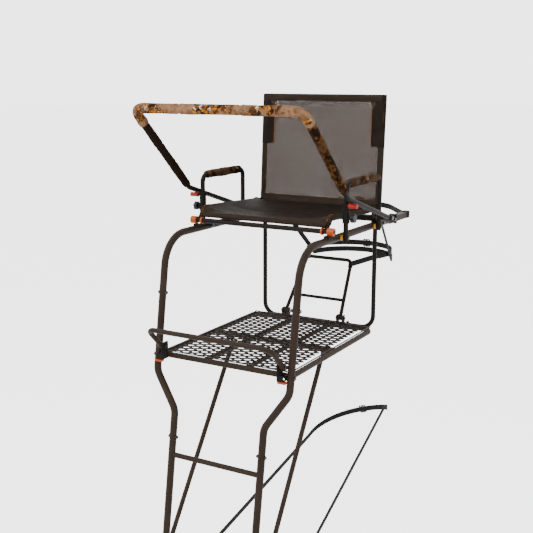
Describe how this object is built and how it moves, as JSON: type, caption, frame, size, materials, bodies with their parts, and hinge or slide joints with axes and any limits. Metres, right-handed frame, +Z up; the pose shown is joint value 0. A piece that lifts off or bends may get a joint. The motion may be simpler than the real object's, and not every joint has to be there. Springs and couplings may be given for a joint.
{
  "type": "ladder tree stand",
  "caption": "Tall ladder leaning on a trunk, with a railed mesh platform, flip-up sling seat, mesh backrest, padded shooting rail and tree straps.",
  "frame": {"origin": "on the ground under the middle of the stand's box, straps left out", "axes": "+X to the climber's right, +Y from the ladder towards the tree, +Z up"},
  "size_m": [0.744, 1.9386, 4.6934],
  "materials": {
    "frame_paint": "dark brown textured powder coat",
    "dark_tube": "near-black brown powder coat",
    "black_steel": "black painted steel plate",
    "deck_mesh": "powder coated expanded metal",
    "zinc": "dull zinc plated steel",
    "ratchet_steel": "dull grey plated pressing",
    "handle_paint": "olive powder coat",
    "sling": "tight woven polyester sling",
    "mesh_fabric": "open woven polyester mesh",
    "pocket": "ribbed corner pocket",
    "camo_pad": "printed woodland camouflage padding",
    "webbing": "black polypropylene webbing",
    "orange_cap": "orange moulded plastic",
    "amber_cap": "amber moulded plastic",
    "red_rubber": "red soft rubber",
    "knob_plastic": "black moulded plastic"
  },
  "bodies": {
    "frame": {"ladder_bottom": "frame_paint", "ladder_middle": "frame_paint", "ladder_upper": "frame_paint", "ladder_feet": "black_steel", "ladder_bolts": "zinc", "upright_left": "frame_paint", "upright_right": "frame_paint", "side_rail_left": "frame_paint", "side_rail_right": "frame_paint", "frame_bolts": "zinc", "platform_frame": "frame_paint", "platform_mesh": "deck_mesh", "rear_frame": "dark_tube", "brace_left": "frame_paint", "brace_right": "frame_paint", "brace_bolts": "zinc", "footrest_brackets": "black_steel", "footrest_caps": "orange_cap", "hinge_pins": "zinc", "seat_rests": "black_steel", "seat_hinge_brackets": "black_steel", "backrest_frame": "dark_tube", "backrest_fabric": "mesh_fabric", "pocket_left": "pocket", "pocket_right": "pocket", "armrest_left": "dark_tube", "armrest_right": "dark_tube", "armrest_pad_left": "camo_pad", "armrest_pad_right": "camo_pad", "armrest_spacers": "amber_cap", "armrest_bolts": "zinc", "rail_pivot_brackets": "black_steel", "rail_pivot_bolts": "zinc", "tree_rest": "black_steel", "tree_arm_left": "frame_paint", "tree_arm_right": "frame_paint", "strap_arms": "webbing", "strap_cinch": "webbing", "strap_stabiliser": "webbing", "ratchet_frame": "ratchet_steel", "stabiliser_buckle": "black_steel"},
    "shooting_rail": {"shooting_rail": "dark_tube", "rail_pad_front": "camo_pad", "rail_pad_left": "camo_pad", "rail_pad_right": "camo_pad"},
    "seat": {"seat_frame": "dark_tube", "seat_fabric": "sling", "seat_sleeves": "orange_cap"},
    "footrest": {"footrest": "frame_paint"},
    "tree_bracket": {"tree_bracket": "dark_tube", "strap_bracket": "webbing", "bracket_strap_buckle": "black_steel"},
    "stop_left": {"stop_left": "black_steel", "stop_sleeve_left": "red_rubber"},
    "stop_right": {"stop_right": "black_steel", "stop_sleeve_right": "red_rubber"},
    "knob_left": {"knob_left": "knob_plastic"},
    "knob_right": {"knob_right": "knob_plastic"},
    "ratchet_spool": {"ratchet_spool": "zinc"},
    "ratchet_handle": {"ratchet_handle": "handle_paint"}
  },
  "joints": [
    {"name": "shooting_rail_flip", "type": "hinge", "parent": "frame", "child": "shooting_rail", "pos_m": [0, 0.35896, 4.2058], "axis": [-1, 0, 0], "range_deg": [0, 65]},
    {"name": "seat_flip", "type": "hinge", "parent": "frame", "child": "seat", "pos_m": [0, 0.38396, 4.2338], "axis": [-1, 0, 0], "range_deg": [0, 85]},
    {"name": "footrest_flip", "type": "hinge", "parent": "frame", "child": "footrest", "pos_m": [0, -0.37104, 3.7618], "axis": [-1, 0, 0], "range_deg": [0, 138]},
    {"name": "tree_bracket_tilt", "type": "hinge", "parent": "frame", "child": "tree_bracket", "pos_m": [0, 0.37396, 3.7528], "axis": [1, 0, 0], "range_deg": [0, 12]},
    {"name": "stop_left_slide", "type": "slide", "parent": "frame", "child": "stop_left", "axis": [0, 0, 1], "range_m": [-0.04, 0]},
    {"name": "stop_right_slide", "type": "slide", "parent": "frame", "child": "stop_right", "axis": [0, 0, 1], "range_m": [-0.04, 0]},
    {"name": "knob_left_turn", "type": "hinge", "parent": "stop_left", "child": "knob_left", "pos_m": [-0.322, 0.00896, 4.2498], "axis": [-1, 0, 0], "continuous": true},
    {"name": "knob_right_turn", "type": "hinge", "parent": "stop_right", "child": "knob_right", "pos_m": [0.322, 0.00896, 4.2498], "axis": [1, 0, 0], "continuous": true},
    {"name": "ratchet_spool_turn", "type": "hinge", "parent": "frame", "child": "ratchet_spool", "pos_m": [0.022, 0.95426, 4.1728], "axis": [0, 0, -1], "continuous": true},
    {"name": "ratchet_handle_open", "type": "hinge", "parent": "frame", "child": "ratchet_handle", "pos_m": [0.022, 0.95426, 4.1728], "axis": [0, 0, -1], "range_deg": [0, 150]}
  ]
}
